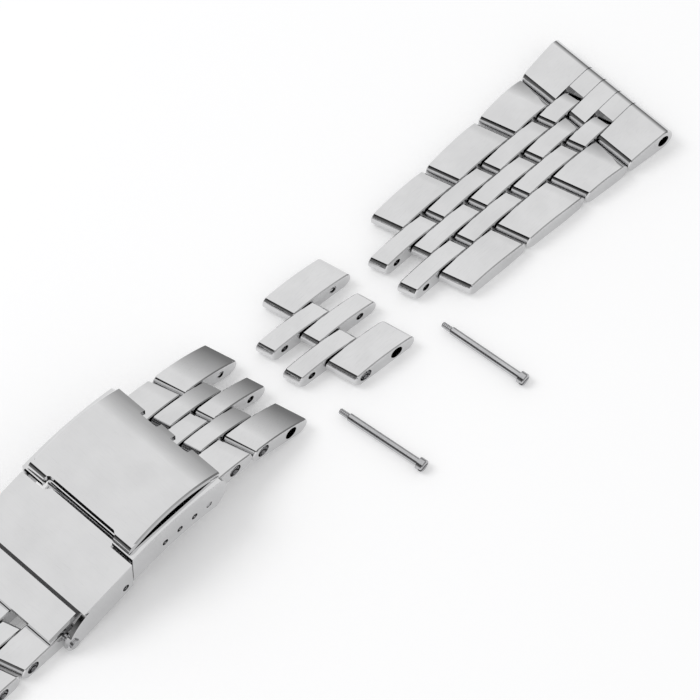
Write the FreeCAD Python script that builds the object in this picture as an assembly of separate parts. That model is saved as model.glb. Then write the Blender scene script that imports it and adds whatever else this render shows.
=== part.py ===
import FreeCAD, Part
import math
import os

# A five-column steel link bracelet for a watch, partly taken apart for sizing.
# The two wide links and the middle link of a row share two pins and make one rigid trio.
# The two narrow links between two rows share the next pins and make one rigid pair.
# Every pin is a hinge between a trio and a pair. Lengths are in millimetres.
# X runs along the bracelet, from the folding clasp up to the end link. Z is up.

# widths across the bracelet
lug_width = 22.0
row_width = 17.9
taper_length = 40.0
taper_power = 1.7
inner_link_width = 2.70
column_gap = 0.13
# links, seen from the side
link_thickness = 2.90
link_edge_height = 2.50
pin_height = 1.40
pin_spacing = 5.55
bar_spacing = 6.35
clasp_row_spacing = 6.25
end_reach = 2.62
nose_top_back = 0.62
nose_bottom_back = 0.87
nose_height = 1.15
nose_overrun = 0.22
end_slant = 0.297
link_bevel = 0.14
# pins and screws
pin_radius = 0.575
running_clearance = 0.05
press_clearance = 0.01
blind_wall = 1.20
pin_recess = 0.30
thread_radius = 0.45
thread_root = 0.37
thread_pitch = 0.267
thread_turns = 6
thread_end_clearance = 0.20
screw_length = 14.30
head_radius = 0.92
head_length = 1.00
head_bevel = 0.10
head_recess = 0.90
head_clearance = 0.08
slot_width = 0.30
slot_depth = 0.45
# end link
lug_hole_radius = 0.95
lug_wall = 0.85
lug_setback = 1.10
end_pin_from_lug = 4.50
end_link_reach = 2.00
end_link_nose_top = 2.65
end_link_middle = 3.32
slot_clearance = 0.15
groove_width = 0.12
groove_depth = 0.35
# first links below an end link
first_pair_spacing = 3.73
first_trio_spacing = 4.31
first_pair_reach = 1.62
first_pair_low_reach = 1.40
first_trio_reach = 1.60
clasp_row_reach = 2.00
# how many rows hang on each end link
upper_rows = 3
other_rows = 4
# how the pieces lie on the table
upper_end_x = 71.23
upper_end_y = -2.79
upper_turn = -1.4
loose_row_x = 17.44
loose_row_y = -1.03
loose_row_turn = -5.3
trio_rise = 18.7
pair_rise = 14.7
clasp_trio_rise = 5.0
loose_screws = ((28.43, -25.75, 4.9), (9.14, -25.05, 6.1))
# clasp box, around arcs with one centre
hole_arc_radius = 35.50
arch_offset = 6.10
wall_below_holes = 1.75
wall_above_holes = 3.75
box_row_gap = 0.65
wall_thickness = 0.70
box_front = 3.30
box_back = 14.20
front_low_back = 2.0
front_high_back = 0.9
front_tip_share = 0.65
roof_front_back = 2.0
roof_thickness = 0.70
adjust_hole_count = 4
adjust_hole_step = 2.75
roof_clear_height = 6.2
ear_low = 2.95
ear_high = 4.60
ear_margin = 0.75
ear_root = 1.00
snap_height = 3.75
snap_back = 1.50
snap_hole_radius = 0.55
snap_dome_radius = 0.45
snap_dome_height = 0.06
# cover plate
cover_side_step = 0.85
cover_thickness = 0.90
cover_lift = 0.65
cover_seat_gap = 0.02
cover_edge_bevel = 0.20
cover_front_back = 0.40
cover_corner = 1.10
cover_corner_drop = 0.99
notch_clearance = 0.20
notch_depth = 0.95
nail_recess_side = 3.80
nail_recess_depth = 0.90
nail_recess_corner = 0.80
# clasp blades
blade_side_gap = 2.00
blade_thickness = 0.65
blade_below_walls = 0.35
blade_gap = 0.20
web_half = 0.51
knuckle_radius = 0.85
knuckle_split = 3.50
knuckle_gap = 0.12
hinge_pin_radius = 0.45
box_hinge_back = 11.6
box_hinge_drop = 0.55
fold_hinge_back = 2.20
blade_flat_height = 0.30
blade_bend_back = 13.9
# spring bar and end pin
bar_tip_radius = 0.45
bar_tip_clearance = 0.06
bar_tip_length = 0.60
end_pin_from_bar = 25.4
pivot_radius = 0.75
pivot_proud = 0.30
# safety flap and end bridge
seam_radius = 5.20
seam_gap = 0.20
bridge_top = 3.60
bridge_rear_top = 2.45
bridge_rear = 2.90
bridge_side_gap = 0.70
bridge_thickness = 0.72
bridge_corner_depth = 0.79
bridge_front_low = 0.95
ear_thickness = 0.42
lug_eye = 1.20
wall_low_height = 3.20
side_gap = 0.10
flap_thickness = 0.80
flap_front_height = 8.15
flap_seam_height = 6.70
flap_edge_bevel = 0.30
flap_gap = 0.15
tongue_gap = 0.25
arm_low_height = 2.70
arm_eye = 1.30
arm_step_back = 0.50
arm_step_rise = 0.90
arm_waist_x = 0.20
arm_waist_z = 2.60
# cutting shapes run past what they cut, and points this near are the same point
overshoot = 1.0
tall = 20.0
same_place = 1e-5

V = FreeCAD.Vector
Y_AXIS = V(0, 1, 0)
Z_AXIS = V(0, 0, 1)

inner_half = 1.5 * inner_link_width + 2 * column_gap
pair_inner = 0.5 * inner_link_width + column_gap
pair_outer = pair_inner + inner_link_width
bore_radius = pin_radius + running_clearance
press_radius = pin_radius + press_clearance
thread_length = thread_pitch * thread_turns
wall_inner_half = 0.5 * row_width + box_row_gap
wall_outer_half = wall_inner_half + wall_thickness
cover_half = wall_outer_half - cover_side_step
nail_recess_half = wall_outer_half - nail_recess_side
blade_half = wall_inner_half - blade_side_gap
bridge_half = wall_inner_half - bridge_side_gap
round_share = 1.0 - math.sqrt(0.5)
lug_radius = lug_hole_radius + lug_wall
nodes = {}
pivots = {}


def arc(a, b, c):
    return Part.Arc(V(*a), V(*b), V(*c)).toShape()


def line(a, b):
    return Part.LineSegment(V(*a), V(*b)).toShape()


def path(points):
    return [line(points[i], points[i + 1]) for i in range(len(points) - 1)]


def rod(x, z, radius, y_from, y_to):
    # a round bar along Y
    low = min(y_from, y_to)
    return Part.makeCylinder(radius, abs(y_to - y_from), V(x, low, z), Y_AXIS)


def block(x_from, x_to, y_from, y_to, z_from, z_to):
    corner = V(min(x_from, x_to), min(y_from, y_to), min(z_from, z_to))
    return Part.makeBox(abs(x_to - x_from), abs(y_to - y_from), abs(z_to - z_from), corner)


def slab(edges, y_from, y_to):
    # a closed side outline drawn at y = 0, swept across the bracelet
    face = Part.Face(Part.Wire(edges))
    face.translate(V(0, y_from, 0))
    return face.extrude(V(0, y_to - y_from, 0))


def both_sides(shape):
    # the shape and its mirror image on the other side of the middle plane
    return [shape, shape.mirror(V(0, 0, 0), Y_AXIS)]


def fused(shapes):
    return shapes[0].multiFuse(shapes[1:]).removeSplitter()


def circle_through(a, b, c):
    # centre and radius of the circle through three (x, z) points
    d = 2 * (a[0] * (b[1] - c[1]) + b[0] * (c[1] - a[1]) + c[0] * (a[1] - b[1]))
    sa = a[0] ** 2 + a[1] ** 2
    sb = b[0] ** 2 + b[1] ** 2
    sc = c[0] ** 2 + c[1] ** 2
    x = (sa * (b[1] - c[1]) + sb * (c[1] - a[1]) + sc * (a[1] - b[1])) / d
    z = (sa * (c[0] - b[0]) + sb * (a[0] - c[0]) + sc * (b[0] - a[0])) / d
    return x, z, math.hypot(a[0] - x, a[1] - z)


def height_on(circle, x):
    # height of the upper side of a circle (x, z, radius) at x
    return circle[1] + math.sqrt(circle[2] ** 2 - (x - circle[0]) ** 2)


def arc_on(circle, x_from, x_to):
    # the upper side of a circle between two places
    middle = 0.5 * (x_from + x_to)
    points = [(x, 0, height_on(circle, x)) for x in (x_from, middle, x_to)]
    return arc(*points)


def half_width(distance):
    # half the bracelet's width at a distance below the end link's top
    left = max(0.0, 1.0 - distance / taper_length)
    return 0.5 * (row_width + (lug_width - row_width) * left ** taper_power)


def nose_points(pin, reach, side):
    # bottom, tip and top of a link's rounded end, on the side of X that it points to
    bottom = (pin + side * (reach - nose_bottom_back), 0.0)
    tip = (pin + side * reach, nose_height)
    edge = (pin + side * (reach - nose_top_back), link_edge_height)
    return bottom, tip, edge


def longer_nose(points):
    # the same rounded end, run on a little past the top of the link
    x, z, radius = circle_through(*points)
    over = link_edge_height + nose_overrun
    side = 1 if points[1][0] > points[0][0] else -1
    return points[0], points[1], (x + side * math.sqrt(radius ** 2 - (over - z) ** 2), over)


def camber(low, high, low_reach, high_reach):
    # the circle of a link's slightly domed top
    low_edge = (low - low_reach + nose_top_back, link_edge_height)
    high_edge = (high + high_reach - nose_top_back, link_edge_height)
    return circle_through(low_edge, (0.5 * (low + high), link_thickness), high_edge)


def at_zero(points):
    return [(x, 0.0, z) for x, z in points]


def link_body(low, high, low_reach, high_reach, y_a, y_b):
    # a link between two pins, with both ends rounded and cut at a slant
    dome = camber(low, high, low_reach, high_reach)
    low_end = at_zero(nose_points(low, low_reach, -1))
    high_end = at_zero(nose_points(high, high_reach, 1))
    edges = [arc(*low_end), arc_on(dome, low_end[2][0], high_end[2][0])]
    edges.append(arc(high_end[2], high_end[1], high_end[0]))
    edges.append(line(high_end[0], low_end[0]))
    face = Part.Face(Part.Wire(edges))
    face.translate(V(end_slant * 0.5 * (y_b - y_a), y_a, 0))
    return face.extrude(V(-end_slant * (y_b - y_a), y_b - y_a, 0))


def square_end_body(low, high, low_reach, high_reach, y_a, y_b, square_side):
    # the same link left long on square_side, and what it keeps once that end is cut straight
    longer = slant_allowance(y_b - y_a)
    dome = camber(low, high, low_reach, high_reach)
    low_x = low - low_reach - longer
    high_x = high + high_reach + longer
    slanted_side = -square_side
    pin = low if slanted_side < 0 else high
    reach = low_reach if slanted_side < 0 else high_reach
    far_x = high_x if slanted_side < 0 else low_x
    end = at_zero(nose_points(pin, reach, slanted_side))
    far = [(far_x, 0.0, 0.0), (far_x, 0.0, height_on(dome, far_x))]
    edges = [arc(*end), arc_on(dome, end[2][0], far_x), line(far[1], far[0]), line(far[0], end[0])]
    face = Part.Face(Part.Wire(edges))
    face.translate(V(end_slant * 0.5 * (y_b - y_a), y_a, 0))
    slanted = face.extrude(V(-end_slant * (y_b - y_a), y_b - y_a, 0))
    pin = high if slanted_side < 0 else low
    reach = high_reach if slanted_side < 0 else low_reach
    far_x = low_x if slanted_side < 0 else high_x
    top = link_thickness + nose_overrun
    end = at_zero(longer_nose(nose_points(pin, reach, square_side)))
    above = (end[2][0], 0.0, top)
    edges = [arc(*end)] + path([end[2], above, (far_x, 0.0, top), (far_x, 0.0, 0.0), end[0]])
    return slanted, slab(edges, y_a - overshoot, y_b + overshoot)


def slant_allowance(width):
    # how far past its square end the slanted shape has to run
    return 0.5 * end_slant * width + nose_top_back


def beveled(solid, inside, face_at):
    # bevels the long edges and end edges of both sides, but not those at the bottom
    chosen = []
    for edge in solid.Edges:
        if edge.CenterOfMass.z < nose_bottom_back * 0.5:
            continue
        ends = [vertex.Point for vertex in edge.Vertexes]
        on_inside = all(abs(p.y - inside) < same_place for p in ends)
        on_outside = all(abs(p.y - face_at(p.x)) < same_place for p in ends)
        if on_inside or on_outside:
            chosen.append(edge)
    return solid.makeChamfer(link_bevel, chosen)


def narrow_link(low, high, low_reach, high_reach, centre, square_side=0):
    # a link of one of the three inner columns, without its pin holes
    y_a = centre - 0.5 * inner_link_width
    y_b = centre + 0.5 * inner_link_width
    if not square_side:
        body = link_body(low, high, low_reach, high_reach, y_a, y_b)
        return beveled(body, y_a, lambda x: y_b)
    body, kept = square_end_body(low, high, low_reach, high_reach, y_a, y_b, square_side)
    return beveled(body, y_a, lambda x: y_b).common(kept)


def wide_link(low, high, low_reach, high_reach, side, low_half, high_half, square_side=0):
    # an outer link, whose outer face follows the taper
    centre = side * 0.5 * (inner_half + 0.5 * (low_half + high_half))
    reach = max(low_half, high_half) - abs(centre)
    y_a = centre - reach
    y_b = centre + reach
    kept = None
    if square_side:
        body, kept = square_end_body(low, high, low_reach, high_reach, y_a, y_b, square_side)
    else:
        body = link_body(low, high, low_reach, high_reach, y_a, y_b)
    slope = (high_half - low_half) / (high - low)

    def face_at(x):
        return side * (low_half + slope * (x - low))

    x_a = low - pin_spacing
    x_b = high + pin_spacing
    plan = [(x_a, side * inner_half), (x_b, side * inner_half)]
    plan += [(x_b, face_at(x_b)), (x_a, face_at(x_a))]
    corners = [(x, y, -overshoot) for x, y in plan]
    face = Part.Face(Part.Wire(path(corners + corners[:1])))
    column = face.extrude(V(0, 0, link_thickness + 2 * overshoot))
    body = beveled(body.common(column), side * inner_half, face_at)
    return body.common(kept) if kept else body


def screw_tip(outer_half):
    # how far from the middle the tip of a seated screw comes, past the middle
    return screw_length + head_recess - outer_half


def cut_screw_hole(links, x, outer_half, side):
    # counterbore and clear hole in the link on the screw's side, thread in the far link
    deep = head_recess + head_length
    far = screw_tip(outer_half)
    near_face = side * outer_half
    seat = side * (outer_half - deep)
    shank_end = -side * (far - thread_length + running_clearance)
    thread_end = -side * (far + thread_end_clearance)
    past = side * (outer_half + overshoot)
    cuts = [rod(x, pin_height, head_radius + head_clearance, near_face - side * deep, past)]
    cuts.append(rod(x, pin_height, bore_radius, seat, shank_end))
    cuts.append(rod(x, pin_height, thread_radius + press_clearance, 0.0, thread_end))
    return [link.cut(cuts) for link in links]


def cut_press_hole(links, x, outer_half, side):
    # the pin goes in from one side and stops short of the other
    blind_end = -side * (outer_half - blind_wall)
    bore = rod(x, pin_height, press_radius, blind_end, side * (outer_half + overshoot))
    return [link.cut(bore) for link in links]


def screw(side):
    # a link screw along Y with its head on the given side, head face at y = 0
    points = [(0.0, 0.0), (head_radius - head_bevel, 0.0), (head_radius, head_bevel)]
    points += [(head_radius, head_length), (pin_radius, head_length)]
    start = screw_length - thread_length
    points += [(pin_radius, start), (thread_root, start)]
    for turn in range(thread_turns):
        points.append((thread_radius, start + (turn + 0.5) * thread_pitch))
        points.append((thread_root, start + (turn + 1.0) * thread_pitch))
    points.append((0.0, screw_length))
    outline = [(r, -side * along, 0.0) for r, along in points]
    body = Part.Face(Part.Wire(path(outline + outline[:1]))).revolve(V(0, 0, 0), Y_AXIS, 360)
    outside = side * overshoot
    half = 0.5 * slot_width
    slot = block(-head_radius, head_radius, outside, -side * slot_depth, -half, half)
    return body.cut(slot)


def seated_screw(x, outer_half, side):
    body = screw(side)
    body.translate(V(x, side * (outer_half - head_recess), pin_height))
    return body


def press_pin(x, outer_half, side):
    far = -side * (outer_half - blind_wall - press_clearance)
    return rod(x, pin_height, pin_radius, far, side * (outer_half - pin_recess))


def trio(low, high, low_reach, high_reach, low_half, high_half, square_side=0):
    left = wide_link(low, high, low_reach, high_reach, 1, low_half, high_half, square_side)
    right = wide_link(low, high, low_reach, high_reach, -1, low_half, high_half, square_side)
    centre = narrow_link(low, high, low_reach, high_reach, 0.0, square_side)
    return [left, centre, right]


def pair(low, high, low_reach, high_reach):
    # the two narrow links between two rows, bored to turn on their pins
    centre = 0.5 * (pair_inner + pair_outer)
    links = [narrow_link(low, high, low_reach, high_reach, side * centre) for side in (1, -1)]
    holes = [rod(x, pin_height, bore_radius, -inner_half, inner_half) for x in (low, high)]
    return [link.cut(holes) for link in links]


def end_outline(inset):
    # side outline of the end link: a rolled lug, a flat bottom and a rounded lower end
    lug_x = -lug_setback
    pin_x = lug_x - end_pin_from_lug
    radius = lug_radius - inset
    low, tip, edge = nose_points(pin_x, end_link_reach, -1)
    edge = (edge[0], end_link_nose_top - inset)
    middle = (0.5 * (lug_x + pin_x), 0.0, end_link_middle - inset)
    lug_top = (lug_x, 0.0, lug_radius + radius)
    lug_tip = (lug_x + radius, 0.0, lug_radius)
    lug_bottom = (lug_x, 0.0, lug_radius - radius)
    edges = [arc((low[0], 0, low[1]), (tip[0], 0, tip[1]), (edge[0], 0, edge[1]))]
    edges.append(arc((edge[0], 0, edge[1]), middle, lug_top))
    edges.append(arc(lug_top, lug_tip, lug_bottom))
    return edges + path([lug_bottom, (low[0], 0, low[1])])


def end_link():
    lug_x = -lug_setback
    pin_x = lug_x - end_pin_from_lug
    nose_x = pin_x - end_link_reach
    top_half = half_width(0.0)
    nose_half = half_width(-nose_x)
    body = slab(end_outline(0.0), -lug_width, lug_width)
    tip_x = lug_x + lug_radius
    slope = (top_half - nose_half) / (tip_x - nose_x)
    spare = slope * overshoot
    ends = [(tip_x + overshoot, top_half + spare), (nose_x - overshoot, nose_half - spare)]
    plan = ends + [(x, -y) for x, y in reversed(ends)]
    corners = [(x, y, -overshoot) for x, y in plan]
    face = Part.Face(Part.Wire(path(corners + corners[:1])))
    column = face.extrude(V(0, 0, 2 * (end_link_middle + overshoot)))
    body = body.common(column)
    chosen = []
    for edge in body.Edges:
        ends = [vertex.Point for vertex in edge.Vertexes]
        same_side = ends[0].y * ends[-1].y > 0
        if same_side and edge.CenterOfMass.z > nose_bottom_back:
            chosen.append(edge)
    body = body.makeChamfer(link_bevel, chosen)
    core = slab(end_outline(groove_depth), -top_half, top_half)
    ridge = slab(end_outline(0.0), -top_half, top_half).cut(core)
    for wall in (0.5 * (pair_inner + 0.5 * inner_link_width), 0.5 * (pair_outer + inner_half)):
        strip = block(nose_x - overshoot, tip_x + overshoot, wall - 0.5 * groove_width,
                      wall + 0.5 * groove_width, nose_bottom_back, tall)
        body = body.cut([side.common(ridge) for side in both_sides(strip)])
    turn = first_pair_reach + 0.5 * end_slant * inner_link_width + slot_clearance
    slot = rod(pin_x, pin_height, turn, 0.5 * inner_link_width, inner_half)
    slot_wall = 0.5 * inner_link_width
    front = block(nose_x - overshoot, pin_x, slot_wall, inner_half, -overshoot, pin_height + turn)
    below = block(pin_x, pin_x + turn, slot_wall, inner_half, -overshoot, pin_height)
    slot = slot.fuse([front, below])
    body = body.cut(both_sides(slot))
    body = body.cut(rod(lug_x, lug_radius, lug_hole_radius, -lug_width, lug_width))
    return body


def half_pins(count, clasp_row):
    # distances of a half's pins from its end link's top, the end link's own pin first
    pins = [lug_setback + end_pin_from_lug]
    pins.append(pins[0] + first_pair_spacing)
    pins.append(pins[1] + first_trio_spacing)
    while len(pins) < count:
        pins.append(pins[-1] + pin_spacing)
    if clasp_row:
        pins[-1] = pins[-2] + clasp_row_spacing
    return pins


def placed(solids, x, y, turn):
    result = []
    for solid in solids:
        moved = solid.copy()
        moved.rotate(V(0, 0, 0), Z_AXIS, turn)
        moved.translate(V(x, y, 0))
        result.append(moved)
    return result


def placed_point(along, x, y, turn):
    angle = math.radians(turn)
    return (x + along * math.cos(angle), y + along * math.sin(angle), pin_height, turn)


def pair_reaches(number):
    if number == 0:
        return first_pair_low_reach, first_pair_reach
    return end_reach, end_reach


def build_half(name, rows, x, y, turn, pin_side, screw_pins, clasp_row):
    # an end link with its rows of links, the end link's top at (x, y)
    pair_count = rows if clasp_row else rows + 1
    pins = half_pins(rows + pair_count + 1, clasp_row)
    end = end_link()
    nose_half = half_width(pins[0])
    end = cut_press_hole([end], -pins[0], nose_half, pin_side)[0]
    nodes[name + "_end_link"] = placed([end], x, y, turn)
    nodes[name + "_end_pin"] = placed([press_pin(-pins[0], nose_half, pin_side)], x, y, turn)
    pivots[name + "_lug"] = placed_point(-lug_setback, x, y, turn)
    for row in range(1, rows + 1):
        high = pins[2 * row - 1]
        low = pins[2 * row]
        at_clasp = clasp_row and row == rows
        high_reach = first_trio_reach if row == 1 else end_reach
        low_reach = clasp_row_reach if at_clasp else end_reach
        square = 1 if row == 1 else (-1 if at_clasp else 0)
        links = trio(-low, -high, low_reach, high_reach, half_width(low), half_width(high), square)
        held = []
        for number in (2 * row - 1, 2 * row):
            at = pins[number]
            if at_clasp and number == 2 * row:
                hole = rod(-at, pin_height, bore_radius, -lug_width, lug_width)
                links = [link.cut(hole) for link in links]
            elif number in screw_pins:
                links = cut_screw_hole(links, -at, half_width(at), -pin_side)
                held.append(seated_screw(-at, half_width(at), -pin_side))
            else:
                links = cut_press_hole(links, -at, half_width(at), pin_side)
                held.append(press_pin(-at, half_width(at), pin_side))
        prefix = name + "_row_" + str(row)
        if clasp_row:
            nodes[prefix + "_links"] = placed(links, x, y, turn)
        else:
            for part, link in zip(("left_link", "centre_link", "right_link"), links):
                nodes[prefix + "_" + part] = placed([link], x, y, turn)
        nodes[prefix + "_pins"] = placed(held, x, y, turn)
    for number in range(pair_count):
        low_reach, high_reach = pair_reaches(number)
        links = pair(-pins[2 * number + 1], -pins[2 * number], low_reach, high_reach)
        nodes[name + "_narrow_links_" + str(number)] = placed(links, x, y, turn)
    for number, at in enumerate(pins):
        pivots[name + "_pin_" + str(number)] = placed_point(-at, x, y, turn)


def screw_row(low_seat, high_seat, spacing):
    # a row held by screws; the seats say which of its two pins has its screw in place
    half = 0.5 * row_width
    low = 0.5 * pin_spacing - spacing
    high = 0.5 * pin_spacing
    links = trio(low, high, end_reach, end_reach, half, half)
    held = []
    for x, seat in ((low, low_seat), (high, high_seat)):
        if seat == "bar":
            hole = rod(x, pin_height, bore_radius, -row_width, row_width)
            links = [link.cut(hole) for link in links]
            continue
        links = cut_screw_hole(links, x, half, -1)
        if seat == "screw":
            held.append(seated_screw(x, half, -1))
    return links, held


def row_nodes(name, links, held):
    for part, link in zip(("left_link", "centre_link", "right_link"), links):
        nodes[name + "_" + part] = [link]
    if held:
        nodes[name + "_screw"] = held


build_half("upper", upper_rows, upper_end_x, upper_end_y, upper_turn, 1, (), False)

# the row taken out, with its narrow links on its lower screw
row_links, row_screws = screw_row("screw", "open", pin_spacing)
row_place = (loose_row_x, loose_row_y, loose_row_turn)
row_nodes("removed_row", placed(row_links, *row_place), placed(row_screws, *row_place))
removed_pair = pair(-1.5 * pin_spacing, -0.5 * pin_spacing, end_reach, end_reach)
nodes["removed_narrow_links"] = placed(removed_pair, *row_place)
pivots["removed_row_pin"] = placed_point(-0.5 * pin_spacing, *row_place)

# the two screws laid beside it
for number, (x, y, turn) in enumerate(loose_screws):
    body = screw(-1)
    body.translate(V(0, 0, head_radius))
    nodes["loose_screw_" + str(number + 1)] = placed([body], x, y, turn)


def risen(solids, pin, low_x, rise):
    # turns a flat piece up toward -X about its upper pin, then puts that pin in place
    result = []
    for solid in solids:
        moved = solid.copy()
        moved.translate(V(-low_x, 0, -pin_height))
        moved.rotate(V(0, 0, 0), Y_AXIS, rise)
        moved.translate(V(pin[0], 0, pin[1]))
        result.append(moved)
    return result


def next_pin(pin, rise, spacing):
    angle = math.radians(rise)
    return pin[0] - spacing * math.cos(angle), pin[1] + spacing * math.sin(angle)


# two rows still on the clasp, rising from the table to the spring bar
free_links, free_screws = screw_row("screw", "open", pin_spacing)
half_spacing = 0.5 * pin_spacing
lowest = min(solid.BoundBox.ZMin for solid in risen(free_links, (0.0, 0.0), half_spacing, trio_rise))
free_pin = (0.0, -lowest)
middle_pin = next_pin(free_pin, trio_rise, pin_spacing)
clasp_pin = next_pin(middle_pin, pair_rise, pin_spacing)
bar_pin = next_pin(clasp_pin, clasp_trio_rise, bar_spacing)
free_links = risen(free_links, free_pin, half_spacing, trio_rise)
row_nodes("free_row", free_links, risen(free_screws, free_pin, half_spacing, trio_rise))
middle_pair = pair(-0.5 * pin_spacing, half_spacing, end_reach, end_reach)
nodes["clasp_narrow_links"] = risen(middle_pair, middle_pin, half_spacing, pair_rise)
clasp_links, clasp_screws = screw_row("bar", "screw", bar_spacing)
clasp_links = risen(clasp_links, clasp_pin, half_spacing, clasp_trio_rise)
row_nodes("clasp_row", clasp_links, risen(clasp_screws, clasp_pin, half_spacing, clasp_trio_rise))
pivots["free_row_pin"] = (middle_pin[0], 0.0, middle_pin[1], 0.0)
pivots["clasp_row_pin"] = (clasp_pin[0], 0.0, clasp_pin[1], 0.0)
pivots["spring_bar"] = (bar_pin[0], 0.0, bar_pin[1], 0.0)

# arcs that the clasp is laid out on
arch_x = bar_pin[0] - arch_offset
arch_z = bar_pin[1] - math.sqrt(hole_arc_radius ** 2 - arch_offset ** 2)
front_x = bar_pin[0] + box_front
seam_x = bar_pin[0] - box_back
pin_x = bar_pin[0] - end_pin_from_bar
wall_low = (arch_x, arch_z, hole_arc_radius - wall_below_holes)
wall_high = (arch_x, arch_z, hole_arc_radius + wall_above_holes)


def ring_piece(outer, inner, x_from, x_to):
    # side outline of a curved plate between two circles, cut upright at its ends
    top = arc_on(outer, x_from, x_to)
    bottom = arc_on(inner, x_from, x_to)
    ends = [(x, height_on(outer, x), height_on(inner, x)) for x in (x_from, x_to)]
    return [top, bottom] + [line((x, 0, high), (x, 0, low)) for x, high, low in ends]


def sorted_slab(edges, y_from, y_to):
    return slab(Part.__sortEdges__(edges), y_from, y_to)


def adjust_holes():
    step = adjust_hole_step / hole_arc_radius
    start = math.asin(arch_offset / hole_arc_radius)
    places = []
    for number in range(adjust_hole_count):
        angle = start - number * step
        x = arch_x + hole_arc_radius * math.sin(angle)
        places.append((x, arch_z + hole_arc_radius * math.cos(angle)))
    return places


box_hinge_x = bar_pin[0] - box_hinge_back
box_hinge = (box_hinge_x, height_on((arch_x, arch_z, hole_arc_radius - box_hinge_drop), box_hinge_x))
snap_x = seam_x - snap_back


def box_frame():
    low_x = front_x - front_low_back
    high_x = front_x - front_high_back
    low_end = (low_x, 0, height_on(wall_low, low_x))
    high_end = (high_x, 0, height_on(wall_high, high_x))
    nose = (front_x, 0, low_end[2] + front_tip_share * (high_end[2] - low_end[2]))
    seam_low = (seam_x, 0, height_on(wall_low, seam_x))
    seam_high = (seam_x, 0, height_on(wall_high, seam_x))
    edges = [arc(low_end, nose, high_end), arc_on(wall_high, high_x, seam_x)]
    edges += [line(seam_high, seam_low), arc_on(wall_low, seam_x, low_x)]
    wall = slab(edges, wall_inner_half, wall_outer_half)
    roof_low = (arch_x, arch_z, wall_high[2] - roof_thickness)
    roof_edges = ring_piece(wall_high, roof_low, seam_x, front_x - roof_front_back)
    roof = sorted_slab(roof_edges, -wall_inner_half, wall_inner_half)
    body = fused(both_sides(wall) + [roof])
    holes = []
    tip_radius = bar_tip_radius + bar_tip_clearance
    for x, z in adjust_holes():
        holes.append(rod(x, z, tip_radius, -lug_width, lug_width))
    pin_end = wall_outer_half - 0.5 * wall_thickness
    holes.append(rod(box_hinge[0], box_hinge[1], hinge_pin_radius + press_clearance, -pin_end, pin_end))
    recess_x = seam_x + nail_recess_depth
    recess = block(seam_x - overshoot, recess_x, -nail_recess_half, nail_recess_half, roof_clear_height, tall)
    holes.append(recess)
    return body.cut(holes)


nodes["box_frame"] = [box_frame()]


def cover_plate():
    # a domed sheet seated on the roof at both ends, with its clasp end turned down
    high = front_x - cover_front_back
    low = seam_x + flap_gap
    seat = (arch_x, arch_z, wall_high[2] + cover_seat_gap)
    middle = 0.5 * (low + high)
    roof_end = front_x - roof_front_back
    seat_x = low + cover_thickness
    under = circle_through((roof_end, height_on(seat, roof_end)),
                           (middle, height_on(seat, middle) + cover_lift),
                           (seat_x, height_on(seat, seat_x)))
    over = (under[0], under[1], under[2] + cover_thickness)
    turn_x = low + cover_corner
    turn_z = height_on(over, turn_x)
    corner = (low + round_share * cover_corner, 0, turn_z - round_share * cover_corner_drop)
    corner_low = (low, 0, turn_z - cover_corner_drop)
    edges = [arc(corner_low, corner, (turn_x, 0, turn_z))]
    edges.append(arc_on(over, turn_x, high))
    edges.append(line((high, 0, height_on(over, high)), (high, 0, height_on(under, high))))
    edges.append(arc_on(under, high, seat_x))
    seat_end = (seat_x, 0, height_on(under, seat_x))
    edges += path([seat_end, (low, 0, seat_end[2]), corner_low])
    body = slab(edges, -cover_half, cover_half)
    sides = []
    for edge in body.Edges:
        round_edge = edge.Curve.TypeId == "Part::GeomCircle"
        if round_edge and abs(edge.Curve.Radius - over[2]) < same_place:
            sides.append(edge)
    body = body.makeChamfer(cover_edge_bevel, sides)
    slot_low = 0.5 * inner_link_width - notch_clearance + column_gap
    slot_high = pair_outer + notch_clearance
    notch = block(high - notch_depth, high + overshoot, slot_low, slot_high, 0, tall)
    body = body.cut(both_sides(notch))
    recess_x = low + nail_recess_depth
    recess = block(low - overshoot, recess_x, -nail_recess_half, nail_recess_half, 0, tall)
    corners = []
    for edge in recess.Edges:
        upright = abs(edge.CenterOfMass.z - 0.5 * tall) < same_place
        if upright and abs(edge.CenterOfMass.x - recess_x) < same_place:
            corners.append(edge)
    recess = recess.makeFillet(nail_recess_corner, corners)
    return body.cut(recess)


nodes["cover_plate"] = [cover_plate()]

# the folding blades, one under the other below the box
upper_out = (arch_x, arch_z, wall_low[2] - blade_below_walls)
upper_in = (arch_x, arch_z, upper_out[2] - blade_thickness)
lower_out = (arch_x, arch_z, upper_in[2] - blade_gap)
lower_in = (arch_x, arch_z, lower_out[2] - blade_thickness)
fold_x = bar_pin[0] - fold_hinge_back
fold_radius = 0.5 * (upper_in[2] + lower_out[2])
fold_hinge = (fold_x, height_on((arch_x, arch_z, fold_radius), fold_x))


def knuckles(centre, inner, outer):
    # round hinge barrels on both sides, or one in the middle when inner is zero
    if inner == 0.0:
        return [rod(centre[0], centre[1], knuckle_radius, -outer, outer)]
    return both_sides(rod(centre[0], centre[1], knuckle_radius, inner, outer))


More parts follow.
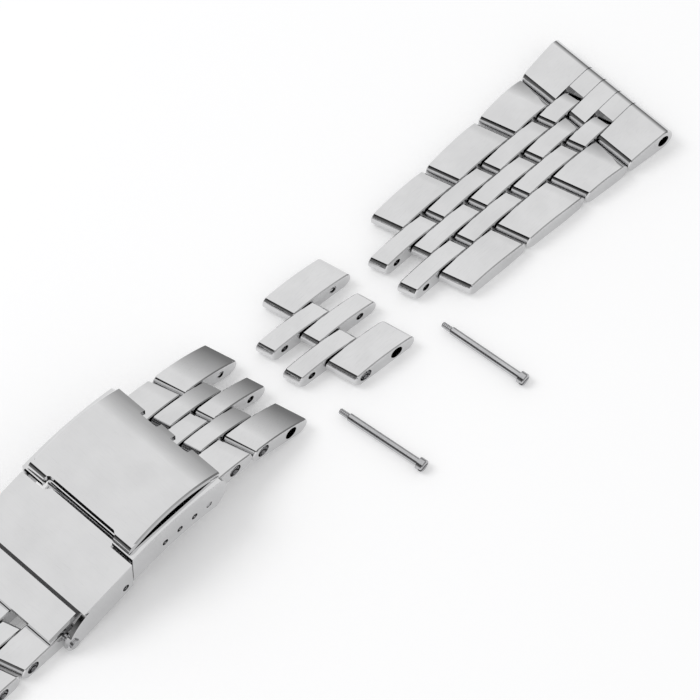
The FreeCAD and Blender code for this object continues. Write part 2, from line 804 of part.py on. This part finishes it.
def middle_blade():
    plate = sorted_slab(ring_piece(upper_out, upper_in, box_hinge[0], fold_x), -blade_half, blade_half)
    clear = knuckle_radius + knuckle_gap
    away = both_sides(rod(fold_hinge[0], fold_hinge[1], clear, knuckle_split, blade_half + overshoot))
    plate = plate.cut(away)
    hinge_x, hinge_z = box_hinge
    foot_x = hinge_x + 2 * web_half
    web = [(hinge_x - web_half, 0, hinge_z), (hinge_x + web_half, 0, hinge_z)]
    web += [(foot_x, 0, height_on(upper_in, foot_x)), (hinge_x, 0, height_on(upper_in, hinge_x))]
    riser = slab(path(web + web[:1]), -blade_half, blade_half)
    body = [plate, riser] + knuckles(box_hinge, 0.0, blade_half)
    body = fused(body + knuckles(fold_hinge, 0.0, knuckle_split - knuckle_gap))
    bore = hinge_pin_radius + running_clearance
    return body.cut([rod(x, z, bore, -lug_width, lug_width) for x, z in (box_hinge, fold_hinge)])


nodes["middle_blade"] = [middle_blade()]
end_pin = (pin_x, pin_height)


def lower_blade():
    bend_x = bar_pin[0] - blade_bend_back
    top_bend = (bend_x, 0, height_on(lower_out, bend_x))
    low_bend = (bend_x, 0, height_on(lower_in, bend_x))
    end_x = end_pin[0] + seam_radius - blade_thickness
    low_end = (end_x, 0, blade_flat_height)
    top_end = (end_x, 0, blade_flat_height + blade_thickness)
    edges = [arc_on(lower_out, fold_x, bend_x), line(top_bend, top_end), line(top_end, low_end)]
    edges += [line(low_end, low_bend), arc_on(lower_in, bend_x, fold_x)]
    edges.append(line((fold_x, 0, height_on(lower_in, fold_x)), (fold_x, 0, height_on(lower_out, fold_x))))
    plate = slab(edges, -blade_half, blade_half)
    clear = knuckle_radius + knuckle_gap
    plate = plate.cut(rod(fold_hinge[0], fold_hinge[1], clear, -knuckle_split, knuckle_split))
    plate = plate.cut(rod(end_pin[0], end_pin[1], seam_radius, -lug_width, lug_width))
    body = fused([plate] + knuckles(fold_hinge, knuckle_split, blade_half))
    tight_bore = hinge_pin_radius + press_clearance
    return body.cut(rod(fold_hinge[0], fold_hinge[1], tight_bore, -lug_width, lug_width))


nodes["lower_blade"] = [lower_blade()]
web_outer = wall_inner_half - side_gap
bridge_corner = (end_pin[0] + math.sqrt(seam_radius ** 2 - bridge_top ** 2), end_pin[1] + bridge_top)


def on_seam(radius, height):
    # the place on a circle about the end pin, on the box's side, at a height above the pin
    return end_pin[0] + math.sqrt(radius ** 2 - height ** 2), 0, end_pin[1] + height


def bridge_section():
    # the fixed bridge from the side: a round front wall and a sloping top
    rear_x = end_pin[0] - bridge_rear
    rear_top = end_pin[1] + bridge_rear_top
    inner = seam_radius - bridge_thickness
    front_low = on_seam(seam_radius, -bridge_front_low)
    corner = on_seam(seam_radius, bridge_top)
    inner_corner = on_seam(inner, bridge_top - bridge_corner_depth)
    edges = [arc(front_low, on_seam(seam_radius, 0.0), corner)]
    edges += path([corner, (rear_x, 0, rear_top), (rear_x, 0, rear_top - bridge_thickness), inner_corner])
    edges.append(arc(inner_corner, on_seam(inner, 0.0), on_seam(inner, -bridge_front_low)))
    return edges + path([on_seam(inner, -bridge_front_low), front_low])


def bridge_lug():
    # one of the two lugs that reach down to the end pin where the narrow links would be
    rear_x = end_pin[0] - bridge_rear
    middle_z = end_pin[1] + bridge_rear_top - 0.5 * bridge_thickness
    front = on_seam(seam_radius - 0.5 * bridge_thickness, bridge_top - bridge_thickness)
    side = math.sqrt(0.5) * lug_eye
    outline = [(rear_x + bridge_thickness, 0, middle_z), front, (end_pin[0] + lug_eye, 0, end_pin[1])]
    outline += [(end_pin[0] - side, 0, end_pin[1] - side)]
    lug = slab(path(outline + outline[:1]), pair_inner, pair_outer)
    return lug.fuse(rod(end_pin[0], end_pin[1], lug_eye, pair_inner, pair_outer))


def end_bridge():
    shell = slab(bridge_section(), -bridge_half, bridge_half)
    chosen = []
    for edge in shell.Edges:
        if abs(edge.CenterOfMass.z - bridge_corner[1]) < same_place:
            chosen.append(edge)
        ends = [vertex.Point for vertex in edge.Vertexes]
        lowest_end = min(p.z for p in ends)
        if ends[0].y * ends[1].y > 0 and lowest_end > end_pin[1] + bridge_rear_top - same_place:
            chosen.append(edge)
    shell = shell.makeChamfer(flap_edge_bevel, chosen)
    wall = slab(bridge_section(), -web_outer, web_outer)
    seam_front = end_pin[0] + seam_radius
    wall = wall.common(block(end_pin[0], seam_front + overshoot, -web_outer, web_outer, 0, wall_low_height))
    ear_inner = web_outer - ear_thickness
    ear = block(seam_front - ear_root, snap_x + ear_margin, ear_inner, web_outer, ear_low, ear_high)
    ball = (snap_dome_radius ** 2 + snap_dome_height ** 2) / (2 * snap_dome_height)
    dome = Part.makeSphere(ball, V(snap_x, web_outer + snap_dome_height - ball, snap_height))
    dome = dome.common(rod(snap_x, snap_height, snap_dome_radius, ear_inner, web_outer + overshoot))
    body = fused([shell, wall] + both_sides(bridge_lug()) + both_sides(ear) + both_sides(dome))
    return body.cut(rod(end_pin[0], end_pin[1], press_radius, -lug_width, lug_width))


nodes["end_bridge"] = [end_bridge()]


def safety_flap():
    # a plate with a tongue and two side arms, turning on the end pin
    seam = seam_radius + seam_gap
    front = seam_x - flap_gap
    tilt = (flap_front_height - flap_seam_height) / (front - bridge_corner[0])
    far = end_pin[0] + arm_eye

    def top_at(x):
        return flap_front_height + tilt * (x - front)

    def sheet(x_from, x_to, y_half):
        points = [(x_from, 0, top_at(x_from)), (x_to, 0, top_at(x_to))]
        points += [(x_to, 0, top_at(x_to) - flap_thickness), (x_from, 0, top_at(x_from) - flap_thickness)]
        return slab(path(points + points[:1]), -y_half, y_half)

    tongue_tip = seam_x + nail_recess_depth - tongue_gap
    tongue = sheet(tongue_tip, front - overshoot, nail_recess_half - tongue_gap)
    plate = sheet(front, far, wall_outer_half)
    eye = (end_pin[0], 0, end_pin[1] - arm_eye)
    rear = (end_pin[0] - arm_eye, 0, end_pin[1])
    side = math.sqrt(0.5) * arm_eye
    step = (bridge_corner[0] - arm_step_back, 0, bridge_corner[1] + arm_step_rise)
    front_low = (front, 0, arm_low_height)
    over_corner = (bridge_corner[0], 0, top_at(bridge_corner[0]))
    arm_edges = path([front_low, (front, 0, top_at(front)), over_corner, step])
    arm_edges.append(arc(step, (end_pin[0] + arm_waist_x, 0, end_pin[1] + arm_waist_z), rear))
    arm_edges.append(arc(rear, (end_pin[0] - side, 0, end_pin[1] - side), eye))
    arm_edges += path([eye, front_low])
    arm = slab(arm_edges, wall_inner_half, wall_outer_half)
    plate = plate.cut(rod(end_pin[0], end_pin[1], seam, -lug_width, lug_width))
    body = fused([plate, tongue] + both_sides(arm))
    holes = [rod(end_pin[0], end_pin[1], pivot_radius + running_clearance, -lug_width, lug_width)]
    holes.append(rod(snap_x, snap_height, snap_hole_radius, -lug_width, lug_width))
    return body.cut(holes)


nodes["safety_flap"] = [safety_flap()]

# pins of the clasp
bar_half = wall_inner_half - running_clearance
tip_half = wall_inner_half + bar_tip_length
bar = rod(bar_pin[0], bar_pin[1], pin_radius, -bar_half, bar_half)
bar_tips = rod(bar_pin[0], bar_pin[1], bar_tip_radius, -tip_half, tip_half)
nodes["spring_bar"] = [bar.fuse(bar_tips).removeSplitter()]
hinge_half = wall_outer_half - 0.5 * wall_thickness - press_clearance
nodes["box_hinge_pin"] = [rod(box_hinge[0], box_hinge[1], hinge_pin_radius, -hinge_half, hinge_half)]
nodes["fold_hinge_pin"] = [rod(fold_hinge[0], fold_hinge[1], hinge_pin_radius, -blade_half, blade_half)]
pivot_face = wall_outer_half + pivot_proud
nodes["clasp_end_pin"] = [rod(end_pin[0], end_pin[1], pin_radius, -web_outer, web_outer)]
stud = rod(end_pin[0], end_pin[1], pivot_radius, web_outer, pivot_face)
nodes["flap_pivot_studs"] = both_sides(stud)
pivots["box_hinge"] = (box_hinge[0], 0.0, box_hinge[1], 0.0)
pivots["fold_hinge"] = (fold_hinge[0], 0.0, fold_hinge[1], 0.0)
pivots["end_pin"] = (end_pin[0], 0.0, end_pin[1], 0.0)

# the other half, from the clasp's end pin to its own end link
other_end = end_pin[0] - half_pins(2 * other_rows + 1, True)[-1]
last_pins = (2 * other_rows - 1, 2 * other_rows - 2)
build_half("other", other_rows, other_end, 0.0, 180.0, -1, last_pins, True)

# the origin goes under the middle of everything, on the table
everything = FreeCAD.BoundBox()
for solids in nodes.values():
    for solid in solids:
        everything.add(solid.optimalBoundingBox(False, False))
shift = V(-everything.Center.x, -everything.Center.y, -everything.ZMin)
os.makedirs("parts", exist_ok=True)
for name, solids in nodes.items():
    shape = solids[0] if len(solids) == 1 else Part.Compound(solids)
    shape = shape.copy()
    shape.translate(shift)
    shape.exportStep("parts/" + name + ".step")
for name, (x, y, z, turn) in pivots.items():
    pivots[name] = (x + shift.x, y + shift.y, z + shift.z, turn)
    print(name, [round(value, 3) for value in pivots[name]])
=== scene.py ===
# %% [markdown]
# # A steel link bracelet on a white table
# The bracelet lies partly taken apart for sizing. All of it is rigid polished metal, so the frame's own
# solids keep their shapes, and the lesson is about metal: what a polished face needs around it, and how
# small scratches, smears and a slight waviness make a finish believable.
# The frame comes first, because every later place and size is read from it.

# %% Load the frame
import math

import bmesh
import bpy
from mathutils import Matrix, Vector

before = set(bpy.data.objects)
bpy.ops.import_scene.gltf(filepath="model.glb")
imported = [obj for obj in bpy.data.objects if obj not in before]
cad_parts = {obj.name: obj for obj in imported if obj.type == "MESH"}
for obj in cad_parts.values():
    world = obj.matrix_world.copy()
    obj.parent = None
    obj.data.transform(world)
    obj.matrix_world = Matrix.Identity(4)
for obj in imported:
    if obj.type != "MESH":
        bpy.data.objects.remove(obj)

MM = 0.001

# %% [markdown]
# A new Blender file holds a cube, a lamp and a camera. They would count in the measured size, so they
# go before anything is measured. They are no part of the bracelet, so they go before the scene is
# built.

# %% Clear the startup objects
for name in ("Cube", "Light", "Camera"):
    startup = bpy.data.objects.get(name)
    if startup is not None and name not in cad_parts:
        bpy.data.objects.remove(startup, do_unlink=True)

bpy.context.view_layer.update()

# %% [markdown]
# The camera looks steeply down along the bracelet from a distance, through a long lens, so that near
# and far links come out almost the same size. It is placed from a given point, bearing and dip,
# because helpers fit the whole object and this view cuts off the other half.

# %% Camera
camera_place = Vector((-232.75, -243.27, 586.76)) * MM
camera_bearing = math.radians(43.64)
camera_dip = math.radians(58.73)
view_lens = 258.97
film_width = 36.0
nearest_seen = 0.01
farthest_seen = 20.0

camera_data = bpy.data.cameras.new("table_camera")
camera_data.sensor_width = film_width
camera_data.lens = view_lens
camera_data.clip_start = nearest_seen
camera_data.clip_end = farthest_seen
camera = bpy.data.objects.new("table_camera", camera_data)
bpy.context.collection.objects.link(camera)
forward = Vector((
    math.cos(camera_dip) * math.cos(camera_bearing),
    math.cos(camera_dip) * math.sin(camera_bearing),
    -math.sin(camera_dip),
))
camera.location = camera_place
camera.rotation_mode = "QUATERNION"
camera.rotation_quaternion = forward.to_track_quat("-Z", "Y")
bpy.context.scene.camera = camera
print("camera height in mm", round(camera_place.z / MM, 1))

# %% [markdown]
# Shader maths reads best as ordinary expressions. `Tone` wraps one number socket of a node tree, and
# its operators add Math nodes. The reflected forms let a plain number stand on the left, as in
# gloss + smears. `Shader` owns a tree, and its one method `node` makes any node: settings first, then
# sockets.

# %% Shader helpers
class Tone:
    """A number that varies over a surface, with operators that add Math nodes."""

    def __init__(self, shader, socket):
        self.shader = shader
        self.socket = socket

    def math(self, operation, first, second):
        made = self.shader.node("ShaderNodeMath", {"operation": operation}, {0: first, 1: second})
        return Tone(self.shader, made.outputs[0])

    def __add__(self, other):
        return self.math("ADD", self, other)

    def __mul__(self, other):
        return self.math("MULTIPLY", self, other)

    def at_most(self, other):
        return self.math("MINIMUM", self, other)

    __radd__ = __add__
    __rmul__ = __mul__


class Shader:
    """One node tree, emptied, with a single way of adding a node."""

    def __init__(self, owner):
        owner.use_nodes = True
        self.tree = owner.node_tree
        self.tree.nodes.clear()

    def node(self, kind, settings=None, sockets=None):
        made = self.tree.nodes.new(kind)
        for key, value in (settings or {}).items():
            setattr(made, key, value)
        for key, value in (sockets or {}).items():
            if isinstance(value, Tone):
                value = value.socket
            if isinstance(value, bpy.types.NodeSocket):
                self.tree.links.new(value, made.inputs[key])
            else:
                made.inputs[key].default_value = value
        return made

    def spread(self, low, high, tone):
        """Stretches a tone so that low becomes 0 and high becomes 1."""
        limits = {"Value": tone, "From Min": low, "From Max": high}
        return Tone(self, self.node("ShaderNodeMapRange", {"clamp": True}, limits).outputs["Result"])

    def grain(self, place, stretch, detail=3.0, rough=0.55):
        """Noise with its own fineness along X, Y and Z, in lumps per metre."""
        mapped = self.node("ShaderNodeMapping", {}, {"Vector": place, "Scale": stretch})
        sockets = {"Vector": mapped.outputs[0], "Scale": 1.0, "Detail": detail, "Roughness": rough}
        made = self.node("ShaderNodeTexNoise", {}, sockets)
        return Tone(self, made.outputs["Fac"])

    def blend(self, tone, at_zero, at_one):
        """A colour that goes from at_zero to at_one as the tone goes from 0 to 1."""
        made = self.node("ShaderNodeMix", {"data_type": "RGBA"})
        self.tree.links.new(tone.socket, made.inputs["Factor"])
        made.inputs["A"].default_value = (*at_zero, 1.0)
        made.inputs["B"].default_value = (*at_one, 1.0)
        colours = [socket for socket in made.outputs if socket.type == "RGBA"]
        return colours[0]


# %% [markdown]
# The table is white in the picture but still takes a soft shadow. Its own colour is a pale paint, and
# only rays that see it directly or in a reflection get a little extra white. The surround is plain
# white too: the eye and the metal's reflections see it at full strength, and it lights the table's
# paint at a calmer level.

# %% Table and surround
table_half = 3.0
table_colour = (0.86, 0.86, 0.865, 1.0)
plain_white = (1.0, 1.0, 1.0, 1.0)
table_lift = 0.20
ambient_level = 0.72


def direct_rays(shader):
    """1 for rays from the eye, from a reflection or through glass, otherwise 0."""
    path = shader.node("ShaderNodeLightPath")
    eye = Tone(shader, path.outputs["Is Camera Ray"])
    reflection = Tone(shader, path.outputs["Is Glossy Ray"])
    glass = Tone(shader, path.outputs["Is Transmission Ray"])
    return (eye + reflection + glass).at_most(1.0)


def white_table():
    bm = bmesh.new()
    bmesh.ops.create_grid(bm, x_segments=1, y_segments=1, size=table_half)
    mesh = bpy.data.meshes.new("white_table")
    bm.to_mesh(mesh)
    bm.free()
    table = bpy.data.objects.new("white_table", mesh)
    bpy.context.collection.objects.link(table)
    finish = bpy.data.materials.new("white_table_paint")
    shader = Shader(finish)
    paint = shader.node("ShaderNodeBsdfDiffuse", {}, {"Color": table_colour})
    lift = direct_rays(shader) * table_lift
    glow = shader.node("ShaderNodeEmission", {}, {"Color": plain_white, "Strength": lift})
    both = shader.node("ShaderNodeAddShader", {}, {0: paint.outputs[0], 1: glow.outputs[0]})
    shader.node("ShaderNodeOutputMaterial", {}, {"Surface": both.outputs[0]})
    mesh.materials.append(finish)


def white_surround():
    world = bpy.data.worlds.new("white_surround")
    bpy.context.scene.world = world
    shader = Shader(world)
    strength = direct_rays(shader) * (1.0 - ambient_level) + ambient_level
    sky = shader.node("ShaderNodeBackground", {}, {"Color": plain_white, "Strength": strength})
    shader.node("ShaderNodeOutputWorld", {}, {"Surface": sky.outputs[0]})


white_table()
white_surround()
bpy.context.scene.view_settings.view_transform = "Standard"

# %% [markdown]
# Polished steel has hardly any colour of its own: it shows the room. In an all-white room it would turn
# into white paper. Product photographers stand dark cards round the object, and the rounded link ends
# pick them up as the crisp black bands that tell the eye "polished metal". A tall black card stands on
# the clasp's side, and a low grey one goes all the way round, so that the tilted rows turn grey and not
# black. Only reflections see the cards, so they cast no shadow. The lamp is hidden from reflections
# instead: it shades the table and leaves no bright spot on the metal.

# %% Cards and soft lamp
card_radius = 0.45
card_foot = 0.004
card_steps = 96
full_turn = 360.0


def card(name, height, fade_from, tone, bearing_from=0.0, bearing_to=full_turn):
    """A curved card on the table that fades out upwards, between two bearings in degrees."""
    bm = bmesh.new()
    start = math.radians(bearing_from)
    sweep = bearing_to - bearing_from
    foot = bm.verts.new((card_radius * math.cos(start), card_radius * math.sin(start), card_foot))
    head = bm.verts.new((foot.co.x, foot.co.y, height))
    edge = bm.edges.new((foot, head))
    bmesh.ops.spin(bm, geom=[foot, head, edge], axis=(0.0, 0.0, 1.0), cent=(0.0, 0.0, 0.0),
                   angle=math.radians(sweep), steps=card_steps, use_merge=sweep == full_turn)
    mesh = bpy.data.meshes.new(name)
    bm.to_mesh(mesh)
    bm.free()
    made = bpy.data.objects.new(name, mesh)
    bpy.context.collection.objects.link(made)
    finish = bpy.data.materials.new(name + "_felt")
    shader = Shader(finish)
    place = shader.node("ShaderNodeTexCoord").outputs["Object"]
    level = Tone(shader, shader.node("ShaderNodeSeparateXYZ", {}, {"Vector": place}).outputs["Z"])
    fade = shader.spread(fade_from, height, level)
    felt = shader.node("ShaderNodeEmission", {}, {"Color": (tone, tone, tone, 1.0)})
    clear = shader.node("ShaderNodeBsdfTransparent")
    both = shader.node("ShaderNodeMixShader", {}, {0: fade, 1: felt.outputs[0], 2: clear.outputs[0]})
    shader.node("ShaderNodeOutputMaterial", {}, {"Surface": both.outputs[0]})
    mesh.materials.append(finish)
    made.visible_camera = False
    made.visible_diffuse = False
    made.visible_transmission = False
    made.visible_shadow = False


def soft_lamp(name, place, width, watts):
    """A round area lamp aimed at the middle of the table."""
    data = bpy.data.lights.new(name, "AREA")
    data.shape = "DISK"
    data.size = width
    data.energy = watts
    lamp = bpy.data.objects.new(name, data)
    lamp.location = place
    lamp.rotation_mode = "QUATERNION"
    lamp.rotation_quaternion = (-Vector(place)).to_track_quat("-Z", "Y")
    bpy.context.collection.objects.link(lamp)
    lamp.visible_glossy = False


card("tall_black_card", height=0.66, fade_from=0.52, tone=0.008, bearing_from=110.0, bearing_to=210.0)
card("low_grey_card", height=0.38, fade_from=0.08, tone=0.22)
soft_lamp("window_lamp", place=(-0.30, 0.50, 0.80), width=0.55, watts=2.6)

# %% [markdown]
# One steel, four finishes. Every finish starts from the same three layers, which a magnifier shows on a
# worn bracelet: broad smears that change the gloss, hairlines left by polishing, and a very slight
# waviness of the face that bends reflections. The finishes differ in which way the hairlines run and
# how strong they are. Patterns follow Object coordinates, in metres, so their scales look large.

# %% Steel finishes
smear_scale = (170.0, 170.0, 170.0)
wave_scale = (210.0, 210.0, 210.0)
smear_limits = (0.35, 0.70)
scratch_limits = (0.52, 0.78)
scratch_dulling = 0.9
smear_tint = 0.6
scratch_tint = 0.4


def steel(finish, dark, light, gloss, hairlines, hairline_depth, wave_depth, smear=0.05):
    """Fills a material with steel: gloss is the roughness of its cleanest places."""
    shader = Shader(finish)
    place = shader.node("ShaderNodeTexCoord").outputs["Object"]
    smears = shader.spread(*smear_limits, shader.grain(place, smear_scale))
    lines = shader.grain(place, hairlines, detail=2.0, rough=0.7)
    scratched = shader.spread(*scratch_limits, lines)
    waves = shader.grain(place, wave_scale, detail=1.0)
    roughness = gloss + smears * smear + scratched * (scratch_dulling * gloss)
    colour = shader.blend(smears * smear_tint + scratched * scratch_tint, light, dark)
    low = shader.node("ShaderNodeBump", {}, {"Height": waves, "Distance": wave_depth, "Strength": 1.0})
    fine = {"Height": lines, "Distance": hairline_depth, "Strength": 1.0, "Normal": low.outputs[0]}
    high = shader.node("ShaderNodeBump", {}, fine)
    body = shader.node("ShaderNodeBsdfPrincipled", {}, {
        "Base Color": colour,
        "Metallic": 1.0,
        "Roughness": roughness,
        "Normal": high.outputs[0],
    })
    shader.node("ShaderNodeOutputMaterial", {}, {"Surface": body.outputs[0]})


finishes = {
    "link_steel": dict(dark=(0.60, 0.60, 0.605), light=(0.70, 0.70, 0.705), gloss=0.03,
                       hairlines=(420.0, 7000.0, 7000.0), hairline_depth=1.2e-7, wave_depth=1.2e-5,
                       smear=0.03),
    "clasp_steel": dict(dark=(0.62, 0.62, 0.625), light=(0.69, 0.69, 0.695), gloss=0.05,
                        hairlines=(6500.0, 380.0, 6500.0), hairline_depth=1.5e-7, wave_depth=8e-6,
                        smear=0.04),
    "blade_steel": dict(dark=(0.54, 0.54, 0.55), light=(0.68, 0.68, 0.69), gloss=0.15,
                        hairlines=(240.0, 5200.0, 5200.0), hairline_depth=8e-7, wave_depth=5e-6),
    "pin_steel": dict(dark=(0.36, 0.36, 0.37), light=(0.55, 0.55, 0.56), gloss=0.17,
                      hairlines=(900.0, 9000.0, 900.0), hairline_depth=9e-7, wave_depth=4e-6),
}

for name, recipe in finishes.items():
    finish = bpy.data.materials.new(name + "_finish")
    steel(finish, **recipe)
    users = 0
    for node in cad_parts.values():
        for material_slot in node.material_slots:
            if material_slot.material is not None and material_slot.material.name.split(".")[0] == name:
                material_slot.material = finish
                users += 1
    print(name, "goes on", users, "pieces")
